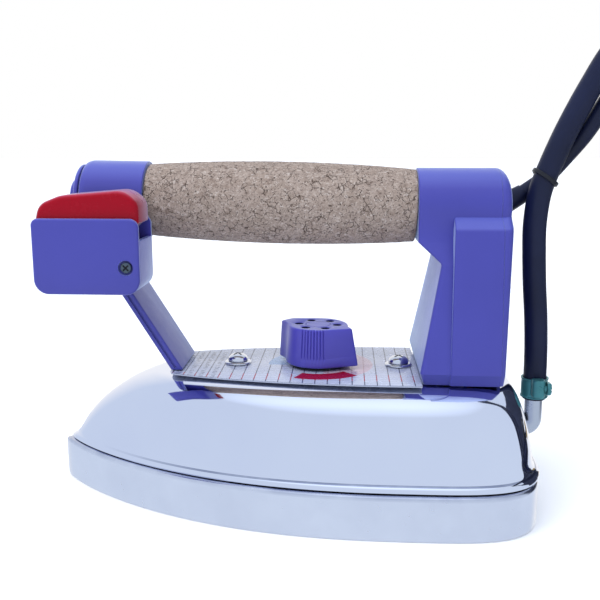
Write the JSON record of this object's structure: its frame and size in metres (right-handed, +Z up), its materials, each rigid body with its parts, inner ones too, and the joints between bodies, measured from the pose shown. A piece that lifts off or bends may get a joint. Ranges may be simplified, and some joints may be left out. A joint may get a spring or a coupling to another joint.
{
  "type": "clothes iron",
  "caption": "Professional steam iron with a cork grip, chromed cover, side-mounted thumb trigger, temperature knob and rear tower, with its steam hose and power cable.",
  "frame": {"origin": "on the sole's flat underside, in the iron's centre plane, below the middle of the cork grip", "axes": "+X towards the iron's rear, where the hose and cable leave, -X towards the sole's tip, +Y towards the iron's right side as its user holds it, -Y towards its left side with the thumb trigger, +Z up"},
  "size_m": [0.4778, 0.1718, 0.2359],
  "materials": {
    "soleplate": "polished casting",
    "chromed_cover": "mirror-bright plating",
    "instruction_plate": "satin sheet with a printed grid and a coloured dial",
    "plate_screws": "bright plating",
    "temperature_knob": "violet, satin",
    "violet_plastic": "violet, satin, fine moulded grain",
    "steam_trigger": "red, semi-gloss",
    "cork_grip": "agglomerated cork, unvarnished",
    "box_cover_screw": "blackened steel",
    "steel_screws": "zinc plated",
    "heating_element": "steel sheath",
    "steam_chamber_lid": "as cast",
    "chamber_gasket": "heat-resistant silicone",
    "steam_inlet_pipe": "drawn tube",
    "hose_clamp": "green passivated steel",
    "steam_hose": "matte black cover with a fine fabric grain",
    "power_cable": "matte black sheath",
    "hose_fitting": "turned brass",
    "black_plastic": "black, satin",
    "microswitch_plunger": "red",
    "inner_leads": "glass-fibre sleeve",
    "ceramic": "unglazed",
    "thermostat_spindle": "turned",
    "insulation_blanket": "pressed mineral fibre"
  },
  "bodies": {
    "iron": {"boss_end_cap": "violet_plastic", "box_cover_screw": "box_cover_screw", "cable_coil": "power_cable", "cable_strain_relief": "black_plastic", "cable_tail": "power_cable", "cable_tie_front": "black_plastic", "cable_tie_rear": "black_plastic", "chamber_gasket": "chamber_gasket", "chromed_cover": "chromed_cover", "cork_grip": "cork_grip", "cover_pillar_front": "steel_screws", "cover_pillar_rear": "steel_screws", "element_lead_left": "inner_leads", "element_lead_right": "inner_leads", "front_support": "violet_plastic", "front_support_screw": "steel_screws", "handle_tie_rod": "steel_screws", "heating_element": "heating_element", "hose_clamp": "hose_clamp", "hose_clamp_screw": "steel_screws", "hose_coil": "steam_hose", "hose_fitting": "hose_fitting", "instruction_plate": "instruction_plate", "insulation_blanket": "insulation_blanket", "lid_screw_1": "steel_screws", "lid_screw_2": "steel_screws", "lid_screw_3": "steel_screws", "lid_screw_4": "steel_screws", "mains_plug": "black_plastic", "microswitch_body": "black_plastic", "microswitch_lead": "inner_leads", "plate_screw_front": "plate_screws", "plate_screw_rear": "plate_screws", "plate_washer_front": "plate_screws", "plate_washer_rear": "plate_screws", "power_cable": "power_cable", "rear_cover_screw_1": "steel_screws", "rear_cover_screw_2": "steel_screws", "rear_tower_cover": "violet_plastic", "rear_tower_housing": "violet_plastic", "soleplate": "soleplate", "steam_chamber_lid": "steam_chamber_lid", "steam_hose": "steam_hose", "steam_inlet_pipe": "steam_inlet_pipe", "switch_box_cover": "violet_plastic", "switch_box_housing": "violet_plastic", "switch_box_screw": "steel_screws", "terminal_block": "ceramic", "thermostat_body": "ceramic", "tie_rod_nut_front": "steel_screws", "tie_rod_nut_rear": "steel_screws", "tower_screw_left": "steel_screws", "tower_screw_right": "steel_screws", "trigger_pivot_pin": "steel_screws", "trigger_spring": "steel_screws"},
    "knob": {"temperature_knob": "temperature_knob", "thermostat_spindle": "thermostat_spindle"},
    "trigger": {"steam_trigger": "steam_trigger"},
    "plunger": {"microswitch_plunger": "microswitch_plunger"}
  },
  "joints": [
    {"name": "temperature_knob_turn", "type": "hinge", "parent": "iron", "child": "knob", "pos_m": [0.0216, 0, 0.07], "axis": [0, 0, 1], "range_deg": [-135, 135]},
    {"name": "trigger_press", "type": "hinge", "parent": "iron", "child": "trigger", "pos_m": [-0.0935, -0.03, 0.122], "axis": [0, 1, 0], "range_deg": [0, 6.5], "stiffness_Nm_per_rad": 0.3, "springref_deg": -8.59, "deforming": ["trigger_spring"]},
    {"name": "microswitch_press", "type": "slide", "parent": "iron", "child": "plunger", "axis": [0, 0, -1], "range_m": [0, 0.0027]}
  ],
  "couplings": [
    {"joint": "microswitch_press", "follows": "trigger_press", "m_per_rad": 0.0235}
  ]
}
